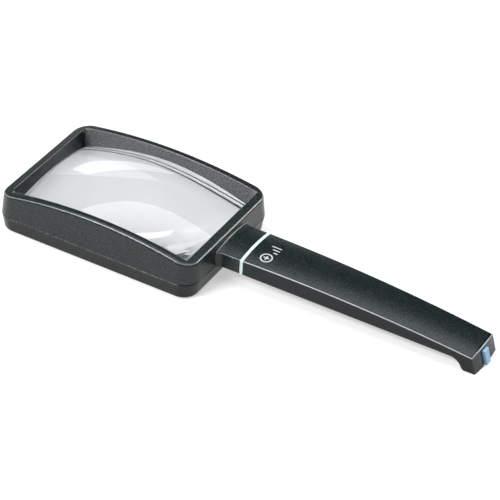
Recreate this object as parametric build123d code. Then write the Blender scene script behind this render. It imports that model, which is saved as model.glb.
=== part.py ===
from build123d import *
import math
import os

# Hand magnifying glass with a rectangular head: a thick moulded lens held between two frame halves,
# and a flat tapered handle.  Millimetres, +Z up, the handle points along +X, and the head and the
# handle's foot both rest on z = 0.  Every X below is measured from the lens axis; the finished
# parts are then moved together, so that the origin is under the middle of the whole outline.

# --- head ---------------------------------------------------------------------------------------
head_length = 83.8          # at the parting plane, where the head is widest
head_width = 57.9
head_corner_radius = 6.9
parting_z = 6.4             # plane where the two frame halves meet
rim_end_z = 14.6            # rim height at the two short sides
rim_middle_z = 19.1         # rim height at the middle of the long sides
upper_draft = 6.0           # degrees, the upper wall leans in as it rises
lower_draft = 9.0           # degrees, the lower wall leans in as it falls
rim_edge_radius = 1.2
base_edge_radius = 1.1
inner_edge_radius = 0.3
seam_chamfer = 0.2          # on each half, the two make a fine groove round the head

view_length = 75.0          # clear opening over the lens
view_width = 49.4
view_corner_radius = 2.8

# --- lens ---------------------------------------------------------------------------------------
flange_overlap = 1.2        # flange beyond the clear opening, on every side
flange_thickness = 1.4
flange_play = 0.1           # between the flange and its pocket
lens_play = 0.1             # between the lens and the walls of the clear opening
lens_top_z = 18.7           # crown of the lens, just under the middle of the rim
lens_top_radius = 65.0      # radius of curvature at the crown
lens_top_conic = -4.3       # conic constant, flattens the upper face towards its edge
lens_bottom_z = 0.9
lens_bottom_radius = 1200.0  # nearly flat
lens_blank_radius = 44.5    # a little more than the opening's corner
lens_curve_steps = 8

# --- pins between the frame halves --------------------------------------------------------------
pin_radius = 0.6
pin_length = 2.4
pin_inset = 3.15            # from the head's widest outline, along X and along Y
fit_play = 0.05

# --- neck, ring and tongue ----------------------------------------------------------------------
neck_end_x = 50.9
neck_width = 20.0
neck_bottom_z = 5.65
neck_edge_z = 11.55         # where the crowned top meets the sides
crown_radius = 55.0         # across the neck and the handle
root_radius = 2.4           # hollow corner between the neck and the head, seen from above
root_top_radius = 0.9       # hollow corner where the neck's top meets the head
soft_edge_radius = 0.45     # long edges of the neck and the handle

ring_thickness = 1.2
tongue_length = 26.0        # beyond the neck
tongue_width = 12.0
tongue_thickness = 2.7
tongue_bottom_z = 7.25

# --- handle -------------------------------------------------------------------------------------
handle_end_x = 142.7        # top edge of the end face
handle_end_width = 16.6
handle_middle_edge_z = 10.45
handle_end_edge_z = 6.3
handle_end_bottom_z = 4.05
cavity_floor_z = 7.05
cavity_end_x = 116.0
cavity_width = 13.0
side_rim = 0.8              # smooth rim of the tray around the grained top plate
top_plate_thickness = 0.8

foot_bend_x = 137.3         # the underside turns down here
foot_toe_x = 139.6          # inner edge of the foot's sole
foot_heel_x = 144.5         # outer edge of the foot's sole
foot_bend_radius = 5.0
foot_toe_radius = 1.4
end_bow = 0.6               # the end face bulges this much in the middle

# --- end insert ---------------------------------------------------------------------------------
insert_width = 3.2
insert_proud = 1.0          # stands out of the end face
insert_bottom_z = 0.2
insert_top_z = 5.6
insert_edge_radius = 0.35
slot_depth = 2.6
slot_gap = 0.4              # on each side of the insert

# --- screws -------------------------------------------------------------------------------------
screw_xs = (57.5, 70.0)
screw_radius = 1.1
screw_head_radius = 1.9
screw_head_height = 1.1
screw_length = 4.2
screw_recess = 0.15         # the head lies this far inside the underside
cross_length = 2.4
cross_width = 0.55
cross_depth = 0.5

above_all = 40.0            # higher than every part, for cutting bodies
ring_end_x = neck_end_x + ring_thickness
end_lean = math.atan2(foot_heel_x - handle_end_x, handle_end_edge_z)


def crown_rise(half_width):
    """How far the middle of a crowned top stands above its side edges."""
    return crown_radius - math.sqrt(crown_radius**2 - half_width**2)


def handle_half_width(x):
    slope = (neck_width - handle_end_width) / 2 / (handle_end_x - ring_end_x)
    return neck_width / 2 - slope * (x - ring_end_x)


def underside_z(x):
    slope = (neck_bottom_z - handle_end_bottom_z) / (handle_end_x - ring_end_x)
    return neck_bottom_z - slope * (x - ring_end_x)


crown_z = neck_edge_z + crown_rise(neck_width / 2)      # middle line of the neck's top


def rounded_block(length, width, radius, low, high):
    """Upright block with rounded corners, centred on the lens axis."""
    outline = Plane.XY.offset(low) * RectangleRounded(length, width, radius)
    return extrude(outline, amount=high - low)


def view_opening(play=0.0):
    """Column of the clear opening; with play, the column that the lens fills."""
    radius = view_corner_radius - play
    return rounded_block(view_length - 2 * play, view_width - 2 * play, radius, -above_all, above_all)


def head_outline():
    return Plane.XY.offset(parting_z) * RectangleRounded(head_length, head_width, head_corner_radius)


def box_between(low, high):
    """Block from its lowest corner to its highest corner."""
    size = [b - a for a, b in zip(low, high)]
    centre = [(a + b) / 2 for a, b in zip(low, high)]
    return Pos(*centre) * Box(*size)


# --- frame halves -------------------------------------------------------------------------------

def rim_cylinder():
    """Body under the long arched surface that the whole rim lies on."""
    rise = rim_middle_z - rim_end_z
    half = head_length / 2 - (rim_end_z - parting_z) * math.tan(math.radians(upper_draft))
    radius = (half**2 + rise**2) / (2 * rise)
    start = Plane(origin=(0, head_width, rim_middle_z - radius), z_dir=(0, -1, 0))
    return extrude(start * Circle(radius), amount=2 * head_width)


def crowned_block(width, low_x, high_x):
    """Straight bar along X with a flat underside and a crowned top."""
    half = width / 2
    edge_z = crown_z - crown_rise(half)
    start = Plane(origin=(low_x, 0, 0), x_dir=(0, 1, 0), z_dir=(1, 0, 0))
    outline = Polyline((half, edge_z), (half, neck_bottom_z), (-half, neck_bottom_z), (-half, edge_z))
    crown = ThreePointArc((-half, edge_z), (0, crown_z), (half, edge_z))
    return extrude(start * make_face([outline, crown]), amount=high_x - low_x)


def neck():
    """Crowned neck whose sides flare into the head with two hollow corners."""
    root_x = head_length / 2 - 2.0
    wall_x = head_length / 2 - 0.4
    half = neck_width / 2
    wide = half + root_radius
    side_x = wall_x + root_radius
    outline = [
        Polyline((wall_x, wide), (root_x, wide), (root_x, -wide), (wall_x, -wide)),
        RadiusArc((wall_x, -wide), (side_x, -half), root_radius),
        Polyline((side_x, -half), (neck_end_x, -half), (neck_end_x, half), (side_x, half)),
        RadiusArc((side_x, half), (wall_x, wide), root_radius),
    ]
    plan = extrude(make_face(outline), amount=above_all)
    return plan & crowned_block(2 * wide, root_x, neck_end_x)


def tongue(play=0.0):
    """Flat bar that carries the handle; with play, the hole that it passes through."""
    half = tongue_width / 2 + play
    low = (neck_end_x - 2.0, -half, tongue_bottom_z - play)
    high = (neck_end_x + tongue_length, half, tongue_bottom_z + tongue_thickness + play)
    return box_between(low, high)


def corner_pins(radius, length):
    x = head_length / 2 - pin_inset
    y = head_width / 2 - pin_inset
    pin = Cylinder(radius, length, align=(Align.CENTER, Align.CENTER, Align.MAX))
    places = [Pos(sx * x, sy * y, parting_z) for sx in (-1, 1) for sy in (-1, 1)]
    return [place * pin for place in places]


def make_upper_frame():
    wall = extrude(head_outline(), amount=above_all / 2, taper=upper_draft) & rim_cylinder()
    rim = wall.faces().sort_by(Axis.Z)[-1]
    wall = fillet(rim.outer_wire().edges(), rim_edge_radius)
    seam = wall.faces().sort_by(Axis.Z)[0]
    wall = chamfer(seam.outer_wire().edges(), seam_chamfer)
    wall = wall - view_opening()
    rim = wall.faces().sort_by(Axis.Z)[-1]
    wall = fillet(rim.inner_wires()[0].edges(), inner_edge_radius)
    stem = neck()
    long_edges = stem.edges().filter_by(Axis.X).group_by(Axis.Z)[-1]
    stem = fillet(long_edges, soft_edge_radius)
    body = wall + stem
    root_edges = body.edges().filter_by(lambda e: abs(e.center().X - head_length / 2) < 1.6
                                        and abs(e.center().Y) < 2 and e.center().Z > neck_edge_z)
    body = fillet(root_edges, root_top_radius)
    body = body + tongue()
    for pin in corner_pins(pin_radius, pin_length):
        body = body + pin
    for x in screw_xs:
        body = body - Pos(x, 0, tongue_bottom_z) * Cylinder(screw_radius + fit_play / 2, above_all)
    return body


def make_lower_frame():
    wall = extrude(head_outline(), amount=-parting_z, taper=lower_draft)
    base = wall.faces().sort_by(Axis.Z)[0]
    wall = fillet(base.outer_wire().edges(), base_edge_radius)
    seam = wall.faces().sort_by(Axis.Z)[-1]
    wall = chamfer(seam.outer_wire().edges(), seam_chamfer)
    wall = wall - view_opening()
    base = wall.faces().sort_by(Axis.Z)[0]
    wall = fillet(base.inner_wires()[0].edges(), inner_edge_radius)
    grow = 2 * (flange_overlap + flange_play)
    pocket_radius = view_corner_radius + flange_overlap + flange_play
    low = parting_z - flange_thickness
    wall = wall - rounded_block(view_length + grow, view_width + grow, pocket_radius, low, above_all)
    for hole in corner_pins(pin_radius + fit_play, pin_length + 4 * fit_play):
        wall = wall - hole
    half = neck_width / 2 + root_radius + fit_play
    notch = box_between((head_length / 2 - 2.0 - fit_play, -half, neck_bottom_z - fit_play),
                        (above_all * 2, half, above_all))
    return wall - notch


# --- lens ---------------------------------------------------------------------------------------

def lens_top_sag(r):
    """Drop of the aspheric upper face at distance r from the lens axis."""
    return r**2 / (lens_top_radius * (1 + math.sqrt(1 - (1 + lens_top_conic) * (r / lens_top_radius) ** 2)))


def lens_bottom_sag(r):
    return lens_bottom_radius - math.sqrt(lens_bottom_radius**2 - r**2)


def make_lens():
    rim = lens_blank_radius
    radii = [rim * i / lens_curve_steps for i in range(lens_curve_steps + 1)]
    top = Spline([(r, lens_top_z - lens_top_sag(r)) for r in radii], tangents=[(1, 0), (1, -0.5)])
    bottom_edge = (rim, lens_bottom_z + lens_bottom_sag(rim))
    middle = (rim / 2, lens_bottom_z + lens_bottom_sag(rim / 2))
    bottom = ThreePointArc((0, lens_bottom_z), middle, bottom_edge)
    sides = [Line(top @ 1, bottom_edge), Line((0, lens_bottom_z), (0, lens_top_z))]
    blank = revolve(Plane.XZ * make_face([top, bottom] + sides), Axis.Z)
    block = blank & view_opening(lens_play)
    grow = 2 * flange_overlap
    radius = view_corner_radius + flange_overlap
    low = parting_z - flange_thickness
    flange = rounded_block(view_length + grow, view_width + grow, radius, low, parting_z)
    return block + (flange - view_opening(lens_play))


# --- ring and handle ----------------------------------------------------------------------------

def make_trim_ring():
    return crowned_block(neck_width, neck_end_x, ring_end_x) - tongue(fit_play)


def crown_path():
    """Middle line of the handle's top, a long flat arc."""
    middle_x = (ring_end_x + handle_end_x) / 2
    far_x = handle_end_x + (foot_heel_x - handle_end_x) * 2
    middle_z = handle_middle_edge_z + crown_rise(handle_half_width(middle_x))
    end_z = handle_end_edge_z + crown_rise(handle_end_width / 2)
    arc = ThreePointArc((ring_end_x, 0, crown_z), (middle_x, 0, middle_z), (handle_end_x, 0, end_z))
    centre = arc.arc_center
    start_angle = math.asin((ring_end_x - centre.X) / arc.radius)
    far_angle = math.asin((far_x - centre.X) / arc.radius)
    return centre, math.degrees(far_angle - start_angle)


def crowned_sweep(depth):
    """Layer of the handle that ends at its crowned top and is depth thick."""
    centre, angle = crown_path()
    half = neck_width
    edge_z = crown_z - crown_rise(half)
    start = Plane(origin=(ring_end_x, 0, 0), x_dir=(0, 1, 0), z_dir=(1, 0, 0))
    upper = ThreePointArc((-half, edge_z), (0, crown_z), (half, edge_z))
    lower = ThreePointArc((-half, edge_z - depth), (0, crown_z - depth), (half, edge_z - depth))
    ends = [Line((side * half, edge_z), (side * half, edge_z - depth)) for side in (-1, 1)]
    layer = start * make_face([upper, lower] + ends)
    return revolve(layer, Axis((centre.X, 0, centre.Z), (0, 1, 0)), angle)


def end_cylinder(inset):
    """Big leaning cylinder whose skin is the bowed end face, moved in by inset."""
    radius = ((handle_end_width / 2) ** 2 + end_bow**2) / (2 * end_bow)
    reach = radius + inset
    centre_x = handle_end_x + end_bow - reach * math.cos(end_lean)
    centre_z = handle_end_edge_z - reach * math.sin(end_lean)
    along = (math.sin(end_lean), 0, -math.cos(end_lean))
    disc = Plane(origin=(centre_x, 0, centre_z), x_dir=(0, 1, 0), z_dir=along) * Circle(radius)
    return extrude(disc, amount=above_all, both=True)


def tapered_plan(inset):
    """Handle seen from above, cut square at the ring and left long at the end."""
    far_x = foot_heel_x + 5
    near_half = handle_half_width(ring_end_x) - inset
    far_half = handle_half_width(far_x) - inset
    corners = [(ring_end_x, near_half), (far_x, far_half), (far_x, -far_half), (ring_end_x, -near_half)]
    return extrude(make_face(Polyline(*corners, close=True)), amount=above_all)


def side_profile():
    """Handle seen from the side, with the foot's two bends, open above its top."""
    far_x = foot_heel_x + 5
    corners = [
        (ring_end_x, above_all),
        (ring_end_x, neck_bottom_z),
        (foot_bend_x, underside_z(foot_bend_x)),
        (foot_toe_x, 0),
        (far_x, 0),
        (far_x, above_all),
    ]
    face = make_face(Polyline(*corners, close=True))
    bend = face.vertices().sort_by_distance(corners[2])[0]
    face = fillet(bend, foot_bend_radius)
    toe = face.vertices().sort_by_distance(corners[3])[0]
    face = fillet(toe, foot_toe_radius)
    return extrude(Plane.XZ * face, amount=neck_width, both=True)


def handle_blank():
    """Outside of the handle, with its top's long edges and end edge softened."""
    blank = crowned_sweep(above_all / 2) & side_profile() & tapered_plan(0) & end_cylinder(0)
    top = blank.faces().sort_by(Axis.Z)[-1]
    edges = [edge for edge in top.edges() if edge.center().X > ring_end_x + 1]
    return fillet(edges, soft_edge_radius)


def make_handle_top():
    return crowned_sweep(top_plate_thickness) & tapered_plan(side_rim) & end_cylinder(side_rim)


def end_slot():
    """Slot in the middle of the end face that takes the insert."""
    half = insert_width / 2 + slot_gap
    low = box_between((foot_toe_x, -half, -1), (foot_heel_x + 5, half, insert_top_z))
    return low - end_cylinder(slot_depth)


def screw_places():
    return [Pos(x, 0, underside_z(x) + screw_recess) for x in screw_xs]


def make_handle_body():
    body = handle_blank()
    half = cavity_width / 2
    cavity = box_between((ring_end_x - 1, -half, cavity_floor_z), (cavity_end_x, half, above_all))
    body = body - make_handle_top() - cavity - end_slot()
    shank_hole = Cylinder(screw_radius + 4 * fit_play, above_all)
    upward = (Align.CENTER, Align.CENTER, Align.MIN)
    downward = (Align.CENTER, Align.CENTER, Align.MAX)
    mouth_radius = screw_head_radius + fit_play
    sink = Cone(mouth_radius, screw_radius + fit_play, screw_head_height, align=upward)
    mouth = Cylinder(mouth_radius, 2 * screw_head_height, align=downward)
    for place in screw_places():
        body = body - place * sink - place * mouth
        body = body - place * shank_hole
    return body


def make_end_insert():
    half = insert_width / 2
    low = (foot_toe_x, -half, insert_bottom_z)
    bar = box_between(low, (foot_heel_x + 5, half, insert_top_z))
    bar = bar & end_cylinder(-insert_proud)
    bar = bar - end_cylinder(slot_depth)
    front = bar.faces().sort_by(Axis.X)[-1]
    return fillet(front.edges(), insert_edge_radius)


def make_screw():
    align = (Align.CENTER, Align.CENTER, Align.MIN)
    head = Cone(screw_head_radius, screw_radius, screw_head_height, align=align)
    shank = Cylinder(screw_radius, screw_length, align=align)
    cross = Box(cross_length, cross_width, 2 * cross_depth)
    cross = cross + Box(cross_width, cross_length, 2 * cross_depth)
    return head + shank - cross


def make_handle_screws():
    return Compound(children=[place * make_screw() for place in screw_places()])


parts = {
    "upper_frame": make_upper_frame(),
    "lower_frame": make_lower_frame(),
    "lens": make_lens(),
    "trim_ring": make_trim_ring(),
    "handle_body": make_handle_body(),
    "handle_top": make_handle_top(),
    "end_insert": make_end_insert(),
    "handle_screws": make_handle_screws(),
}

tip_x = parts["end_insert"].bounding_box().max.X
head_x = parts["upper_frame"].bounding_box().min.X
lens_axis_x = -(tip_x + head_x) / 2

os.makedirs("parts", exist_ok=True)
for name, shape in parts.items():
    export_step(Pos(lens_axis_x, 0, 0) * shape, f"parts/{name}.step")
print("lens axis at x =", round(lens_axis_x, 3), "total length", round(tip_x - head_x, 3))
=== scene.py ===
import math

import bmesh
import bpy
from mathutils import Matrix, Vector
from mathutils.bvhtree import BVHTree


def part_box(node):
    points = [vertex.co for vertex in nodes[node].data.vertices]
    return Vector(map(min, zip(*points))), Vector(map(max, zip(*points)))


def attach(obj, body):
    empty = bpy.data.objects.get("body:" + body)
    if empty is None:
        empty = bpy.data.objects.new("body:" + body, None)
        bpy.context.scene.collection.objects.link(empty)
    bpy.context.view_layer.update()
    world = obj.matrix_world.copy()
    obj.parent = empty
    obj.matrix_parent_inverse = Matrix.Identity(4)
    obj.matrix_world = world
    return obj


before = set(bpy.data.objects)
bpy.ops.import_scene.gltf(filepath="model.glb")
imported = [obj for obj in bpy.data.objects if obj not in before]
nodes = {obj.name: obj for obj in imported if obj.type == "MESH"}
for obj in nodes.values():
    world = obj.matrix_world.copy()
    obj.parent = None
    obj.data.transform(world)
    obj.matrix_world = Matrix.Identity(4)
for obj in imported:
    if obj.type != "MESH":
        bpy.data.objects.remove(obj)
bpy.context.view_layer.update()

# --- places read from the frame -----------------------------------------------------------------
lens_low, lens_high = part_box("lens")
lens_axis = Vector(((lens_low.x + lens_high.x) / 2, 0, 0))
ring_end_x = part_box("trim_ring")[1].x

# Box around the walls of the clear opening, where painted light makes their grain paler.  The lens
# is wider than the opening by its hidden flange, and the left wall is left out, because it stays dark.
FLANGE_WIDTH = 0.0012
WALL_SKIN = 0.0003
LEFT_WALL = 0.0010
edge_in = Vector((FLANGE_WIDTH - WALL_SKIN, FLANGE_WIDTH - WALL_SKIN, 0))
painted_light_low = lens_low + edge_in + Vector((LEFT_WALL, 0, 0))
painted_light_high = lens_high - edge_in

# --- the camera, as the object is seen; azimuth from -Y towards +X ------------------------------
CAMERA_FROM_LENS = Vector((0.40247, -0.65395, 0.56667))
CAMERA_AZIMUTH = math.radians(28.37)
CAMERA_ELEVATION = math.radians(36.87)
CAMERA_ROLL = math.radians(3.08)
CAMERA_LENS_MM = 186.1


# --- node helpers -------------------------------------------------------------------------------

class Shader:
    """A new material with a Principled shader, and short calls for the nodes that feed it."""

    MIX_FACTOR, MIX_FIRST, MIX_SECOND = 0, 6, 7      # a color mix node's inputs
    MIX_RESULT = 2                                   # and its output

    def __init__(self, name):
        self.material = bpy.data.materials.new(name)
        self.material.use_nodes = True
        self.tree = self.material.node_tree
        self.principled = self.tree.nodes["Principled BSDF"]
        self.position = self.tree.nodes.new("ShaderNodeTexCoord").outputs["Object"]

    def set(self, **values):
        for key, value in values.items():
            self.principled.inputs[key.replace("_", " ")].default_value = value

    def link(self, output, target):
        self.tree.links.new(output, target)

    def noise(self, scale, detail):
        texture = self.tree.nodes.new("ShaderNodeTexNoise")
        texture.inputs["Scale"].default_value = scale
        texture.inputs["Detail"].default_value = detail
        self.link(self.position, texture.inputs["Vector"])
        return texture.outputs["Fac"]

    def ramp(self, value, low, high, low_color, high_color):
        """Low_color where the value is at most low, high_color from high on."""
        ramp = self.tree.nodes.new("ShaderNodeValToRGB")
        ramp.color_ramp.elements[0].position = low
        ramp.color_ramp.elements[0].color = (*low_color, 1)
        ramp.color_ramp.elements[1].position = high
        ramp.color_ramp.elements[1].color = (*high_color, 1)
        self.link(value, ramp.inputs["Fac"])
        return ramp.outputs["Color"]

    def calculate(self, operation, first, second):
        node = self.tree.nodes.new("ShaderNodeMath")
        node.operation = operation
        for value, socket in zip((first, second), node.inputs):
            if isinstance(value, (int, float)):
                socket.default_value = value
            else:
                self.link(value, socket)
        return node.outputs["Value"]

    def split(self, vector):
        node = self.tree.nodes.new("ShaderNodeSeparateXYZ")
        self.link(vector, node.inputs["Vector"])
        return node.outputs

    def inside(self, low, high):
        """One where the surface lies inside the upright box from low to high, zero elsewhere."""
        place = self.split(self.position)
        tests = []
        for axis in (0, 1):
            tests.append(self.calculate("GREATER_THAN", place[axis], low[axis]))
            tests.append(self.calculate("LESS_THAN", place[axis], high[axis]))
        result = tests[0]
        for test in tests[1:]:
            result = self.calculate("MULTIPLY", result, test)
        return result

    def mix(self, factor, first, second):
        """First where the factor is zero, second where it is one."""
        mix = self.tree.nodes.new("ShaderNodeMix")
        mix.data_type = "RGBA"
        self.link(factor, mix.inputs[self.MIX_FACTOR])
        for color, socket in ((first, self.MIX_FIRST), (second, self.MIX_SECOND)):
            if isinstance(color, tuple):
                mix.inputs[socket].default_value = (*color, 1)
            else:
                self.link(color, mix.inputs[socket])
        return mix.outputs[self.MIX_RESULT]

    def painted_edge_highlight(self, color, edge, highlight_color):
        """Color, with a painted highlight: pale where the surface turns from the top to a side.

        edge gives the range of the normal's Z in which the pale line lies.
        """
        fade_in = 0.08
        fade_out = 0.06
        normal = self.tree.nodes.new("ShaderNodeTexCoord").outputs["Normal"]
        line = self.tree.nodes.new("ShaderNodeValToRGB")
        low, high = edge
        line.color_ramp.elements[0].position = low - fade_in
        line.color_ramp.elements[0].color = (0, 0, 0, 1)
        line.color_ramp.elements[1].position = high + fade_out
        line.color_ramp.elements[1].color = (0, 0, 0, 1)
        for position in (low, high):
            line.color_ramp.elements.new(position).color = (1, 1, 1, 1)
        self.link(self.split(normal)["Z"], line.inputs["Fac"])
        return self.mix(line.outputs["Color"], color, highlight_color)

    def spread(self, value, low, high):
        """The value, stretched from zero to one to the range from low to high."""
        spread = self.tree.nodes.new("ShaderNodeMapRange")
        spread.inputs["To Min"].default_value = low
        spread.inputs["To Max"].default_value = high
        self.link(value, spread.inputs["Value"])
        return spread.outputs["Result"]

    def bump(self, height, distance, under=None):
        """Normal of a surface raised by up to distance, on top of the normal under it."""
        bump = self.tree.nodes.new("ShaderNodeBump")
        bump.inputs["Distance"].default_value = distance
        bump.inputs["Strength"].default_value = 1.0
        self.link(height, bump.inputs["Height"])
        if under is not None:
            self.link(under, bump.inputs["Normal"])
        return bump.outputs["Normal"]


def grained_plastic(name, dark, light, grain_mm, specular, edge=None, highlight_color=None, painted_wall_light=None):
    """Moulded black plastic whose mould was spark-eroded: a fine even grain, a little glitter.

    edge and the colour after it give a painted highlight, a pale line along its top edges; the last
    argument is painted light, a paler colour of the grain on the walls of the clear opening.
    """
    shader = Shader(name)
    depth = 0.00004
    coarse = shader.noise(1000 / grain_mm, detail=1.5)
    fine = shader.noise(2500 / grain_mm, detail=2)
    color = shader.ramp(coarse, 0.44, 0.62, dark, light)
    # Painted light: a paler grain colour on the walls of the clear opening.
    if painted_wall_light is not None:
        pale = shader.ramp(coarse, 0.34, 0.70, [channel / 3 for channel in painted_wall_light], painted_wall_light)
        color = shader.mix(shader.inside(painted_light_low, painted_light_high), color, pale)
    # Painted highlight: a pale line along the top edges.
    if edge is not None:
        color = shader.painted_edge_highlight(color, edge, highlight_color)
    under = shader.bump(coarse, depth)
    normal = shader.bump(fine, depth / 3, under=under)
    shader.link(color, shader.principled.inputs["Base Color"])
    shader.link(shader.spread(fine, 0.16, 0.34), shader.principled.inputs["Roughness"])
    shader.link(normal, shader.principled.inputs["Normal"])
    shader.set(Specular_IOR_Level=specular)
    return shader.material


def smooth_plastic(name, dark, light, roughness, specular=0.4, edge=None, highlight_color=None):
    """Moulded plastic from a polished mould, with faint unevenness of gloss and surface."""
    shader = Shader(name)
    cloud = shader.noise(160, detail=4)
    grain = shader.noise(2600, detail=2)
    color = shader.ramp(cloud, 0.3, 0.7, dark, light)
    # Painted highlight: a pale line along the top edges.
    if edge is not None:
        color = shader.painted_edge_highlight(color, edge, highlight_color)
    shader.link(color, shader.principled.inputs["Base Color"])
    shader.link(shader.spread(cloud, *roughness), shader.principled.inputs["Roughness"])
    shader.link(shader.bump(grain, 0.000006), shader.principled.inputs["Normal"])
    shader.set(Specular_IOR_Level=specular)
    return shader.material


def clear_acrylic(name):
    """Polished clear acrylic, with a trace of unevenness in its tint."""
    shader = Shader(name)
    cloud = shader.noise(60, detail=1)
    tint = shader.ramp(cloud, 0.3, 0.7, (0.89, 0.90, 0.925), (0.91, 0.92, 0.945))
    shader.link(tint, shader.principled.inputs["Base Color"])
    shader.set(Transmission_Weight=1.0, IOR=1.49, Roughness=0.0)
    return shader.material


def plated_steel(name):
    shader = Shader(name)
    cloud = shader.noise(900, detail=3)
    tint = shader.ramp(cloud, 0.3, 0.7, (0.42, 0.43, 0.44), (0.60, 0.61, 0.62))
    shader.link(tint, shader.principled.inputs["Base Color"])
    shader.link(shader.spread(cloud, 0.22, 0.40), shader.principled.inputs["Roughness"])
    shader.set(Metallic=1.0)
    return shader.material


# Upper frame: a painted highlight on its top edges and painted light on the walls of the opening.
UPPER_GRAIN = grained_plastic(
    "upper_grain", dark=(0.004, 0.008, 0.008), light=(0.016, 0.023, 0.023), grain_mm=0.55,
    specular=0.38, edge=(0.62, 0.78), highlight_color=(0.15, 0.165, 0.165), painted_wall_light=(0.19, 0.205, 0.205))
# Lower frame: the same grain with its colours painted darker, as painted shade, and without the painted
# highlight.
SHADED_LOWER_GRAIN = grained_plastic(
    "shaded_lower_grain", dark=(0.003, 0.006, 0.006), light=(0.010, 0.015, 0.015), grain_mm=0.55,
    specular=0.25)
HANDLE_GRAIN = grained_plastic(
    "handle_grain", dark=(0.002, 0.006, 0.006), light=(0.014, 0.022, 0.022), grain_mm=0.50,
    specular=0.42)
# Handle body: a painted highlight on its top edges.
BLACK_SMOOTH = smooth_plastic(
    "black_smooth", dark=(0.002, 0.005, 0.005), light=(0.004, 0.008, 0.008),
    roughness=(0.14, 0.20), specular=0.28, edge=(0.40, 0.88), highlight_color=(0.34, 0.37, 0.37))
PRINT_GREY = smooth_plastic(
    "print_grey", dark=(0.42, 0.45, 0.46), light=(0.50, 0.53, 0.54), roughness=(0.45, 0.55))
PALE_TRIM = smooth_plastic(
    "pale_trim", dark=(0.52, 0.63, 0.64), light=(0.56, 0.67, 0.68), roughness=(0.34, 0.42))
BLUE_INSERT = smooth_plastic(
    "blue_insert", dark=(0.21, 0.38, 0.55), light=(0.25, 0.42, 0.59), roughness=(0.34, 0.42))

CAD_MATERIALS = {
    "upper_frame": UPPER_GRAIN,
    "lower_frame": SHADED_LOWER_GRAIN,
    "lens": clear_acrylic("clear_acrylic"),
    "trim_ring": PALE_TRIM,
    "handle_body": BLACK_SMOOTH,
    "handle_top": HANDLE_GRAIN,
    "end_insert": BLUE_INSERT,
    "handle_screws": plated_steel("plated_steel"),
}
for node, material in CAD_MATERIALS.items():
    nodes[node].data.materials.clear()
    nodes[node].data.materials.append(material)


# --- mark on the handle -------------------------------------------------------------------------

MARK_X = ring_end_x + 0.0064         # middle of the ring sign, just behind the trim ring
MARK_Y = -0.0044
MARK_RADIUS = 0.0021
PLUS_REACH = 0.0011                  # from the middle of the plus to the end of an arm
BAR_FOOT = 0.0024                    # the bars start this far behind the middle of the ring sign
BAR_PITCH = 0.0017
FIRST_BAR_Y = -0.0007
FIRST_BAR_LENGTH = 0.0016
BAR_GROWTH = 0.0012
MARK_LINE = 0.00050                  # width of a printed line
MARK_LIFT = 0.00003                  # the print stands this far above the plate
MARK_DEPTH = 0.00005                 # and its body reaches this far into it


def height_over(node):
    """A function that gives the height of the node's upper surface at x, y."""
    mesh = nodes[node].data
    tree = BVHTree.FromPolygons([v.co for v in mesh.vertices], [p.vertices for p in mesh.polygons])

    def height(x, y):
        return tree.ray_cast(Vector((x, y, 0.1)), Vector((0, 0, -1)))[0].z

    return height


def band(bm, start, end, width, height, steps=6):
    """Flat printed line from start to end that follows the surface under it."""
    start, end = Vector(start), Vector(end)
    along = (end - start).normalized()
    side = Vector((-along.y, along.x)) * width / 2
    rows = []
    for i in range(steps + 1):
        middle = start.lerp(end, i / steps)
        pair = [middle + side, middle - side]
        rows.append([bm.verts.new((p.x, p.y, height(p.x, p.y) + MARK_LIFT)) for p in pair])
    for first, second in zip(rows, rows[1:]):
        bm.faces.new((first[0], first[1], second[1], second[0]))


def ring(bm, centre, radius, width, height, steps=48):
    """Flat printed ring that follows the surface under it."""
    rows = []
    for i in range(steps):
        angle = 2 * math.pi * i / steps
        spoke = Vector((math.cos(angle), math.sin(angle)))
        pair = [Vector(centre) + spoke * (radius + side * width / 2) for side in (1, -1)]
        rows.append([bm.verts.new((p.x, p.y, height(p.x, p.y) + MARK_LIFT)) for p in pair])
    for i in range(steps):
        first, second = rows[i], rows[(i + 1) % steps]
        bm.faces.new((first[0], first[1], second[1], second[0]))


def make_mark():
    """Row of plain signs across the handle: a ring with a plus in it, then three rising bars."""
    height = height_over("handle_top")
    bm = bmesh.new()
    x, y = MARK_X, MARK_Y
    ring(bm, (x, y), MARK_RADIUS, MARK_LINE, height)
    band(bm, (x - PLUS_REACH, y), (x + PLUS_REACH, y), MARK_LINE, height)
    band(bm, (x, y - PLUS_REACH), (x, y - MARK_LINE / 2), MARK_LINE, height)
    band(bm, (x, y + MARK_LINE / 2), (x, y + PLUS_REACH), MARK_LINE, height)
    foot = x + BAR_FOOT
    for number in range(3):
        bar_y = FIRST_BAR_Y + BAR_PITCH * number
        tip = foot - FIRST_BAR_LENGTH - BAR_GROWTH * number
        band(bm, (foot, bar_y), (tip, bar_y), MARK_LINE, height)
    sheet = list(bm.faces)
    film = bmesh.ops.extrude_face_region(bm, geom=sheet)
    for vert in (item for item in film["geom"] if isinstance(item, bmesh.types.BMVert)):
        vert.co.z -= MARK_LIFT + MARK_DEPTH
    bmesh.ops.recalc_face_normals(bm, faces=bm.faces)
    mesh = bpy.data.meshes.new("handle_mark")
    bm.to_mesh(mesh)
    bm.free()
    mark = bpy.data.objects.new("handle_mark", mesh)
    bpy.context.scene.collection.objects.link(mark)
    mark.data.materials.append(PRINT_GREY)
    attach(mark, "root")


make_mark()


# --- floor and lights ---------------------------------------------------------------------------

FLOOR_HALF = 3.0
FLOOR_GAP = 0.0002                   # the floor lies this far under the object


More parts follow.
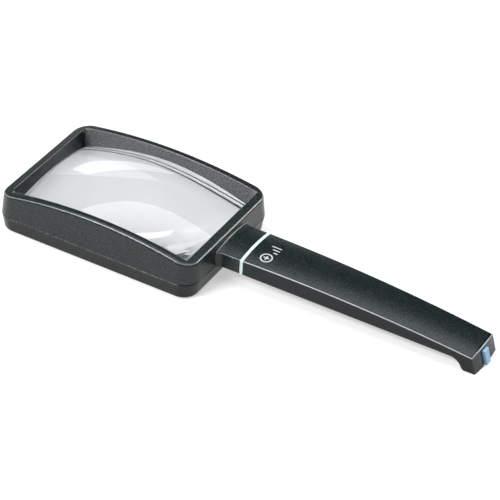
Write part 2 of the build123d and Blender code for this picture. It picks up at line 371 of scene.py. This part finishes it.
def make_floor():
    """A white floor that glows a little, like a light table."""
    shader = Shader("pale_floor")
    cloud = shader.noise(3, detail=2)
    tint = shader.ramp(cloud, 0.3, 0.7, (0.50, 0.50, 0.50), (0.54, 0.54, 0.54))
    shader.link(tint, shader.principled.inputs["Base Color"])
    shader.set(Roughness=0.9, Emission_Color=(1.0, 1.0, 1.0, 1.0), Emission_Strength=0.50)
    mesh = bpy.data.meshes.new("floor")
    half = FLOOR_HALF
    corners = [(-half, -half, 0), (half, -half, 0), (half, half, 0), (-half, half, 0)]
    mesh.from_pydata(corners, [], [(0, 1, 2, 3)])
    mesh.materials.append(shader.material)
    floor = bpy.data.objects.new("floor", mesh)
    floor.location.z = -FLOOR_GAP
    bpy.context.scene.collection.objects.link(floor)


def area_light(name, direction, distance, width, height, watts, through_lens=True):
    """A soft panel that faces the lens from a direction, given as azimuth from +Y and elevation.

    Without through_lens the panel is not seen through the lens.
    """
    azimuth, elevation = (math.radians(angle) for angle in direction)
    towards = Vector((
        math.sin(azimuth) * math.cos(elevation),
        math.cos(azimuth) * math.cos(elevation),
        math.sin(elevation),
    ))
    data = bpy.data.lights.new(name, "AREA")
    data.shape = "RECTANGLE"
    data.size, data.size_y = width, height
    data.energy = watts
    light = bpy.data.objects.new(name, data)
    light.location = lens_axis + towards * distance
    light.rotation_mode = "QUATERNION"
    light.rotation_quaternion = towards.to_track_quat("Z", "Y")
    light.visible_transmission = through_lens
    bpy.context.scene.collection.objects.link(light)


def make_world():
    """An unlit world, so that only the lights and the floor light the object."""
    world = bpy.data.worlds.new("studio")
    world.use_nodes = True
    world.node_tree.nodes["Background"].inputs["Strength"].default_value = 0.0
    bpy.context.scene.world = world


def make_camera():
    back = Vector((
        math.sin(CAMERA_AZIMUTH) * math.cos(CAMERA_ELEVATION),
        -math.cos(CAMERA_AZIMUTH) * math.cos(CAMERA_ELEVATION),
        math.sin(CAMERA_ELEVATION),
    ))
    right = Vector((0, 0, 1)).cross(back).normalized()
    up = back.cross(right)
    turn = Matrix.Rotation(CAMERA_ROLL, 3, back)
    axes = Matrix((turn @ right, turn @ up, back)).transposed()
    data = bpy.data.cameras.new("camera")
    data.lens = CAMERA_LENS_MM
    data.sensor_width = 36.0
    data.clip_end = 20.0
    camera = bpy.data.objects.new("camera", data)
    camera.matrix_world = Matrix.Translation(lens_axis + CAMERA_FROM_LENS) @ axes.to_4x4()
    bpy.context.scene.collection.objects.link(camera)
    bpy.context.scene.camera = camera


def set_light_paths():
    """Enough bounces for light that is reflected many times inside the thick lens."""
    cycles = bpy.context.scene.cycles
    cycles.max_bounces = 24
    cycles.glossy_bounces = 16
    cycles.transmission_bounces = 24


make_floor()
make_world()
area_light("overhead", (-22, 78), distance=1.2, width=1.3, height=1.1, watts=13)
area_light("front_left", (-152, 45), distance=1.2, width=0.55, height=0.34, watts=16, through_lens=False)
area_light("back_right", (38, 30), distance=1.1, width=0.50, height=0.30, watts=8, through_lens=False)
area_light("left_card", (-100, 20), distance=1.2, width=1.2, height=0.7, watts=2.8)
area_light("back_card", (-30, 9), distance=1.0, width=0.56, height=0.34, watts=0.9)
make_camera()
set_light_paths()
bpy.context.scene.view_settings.view_transform = "Standard"
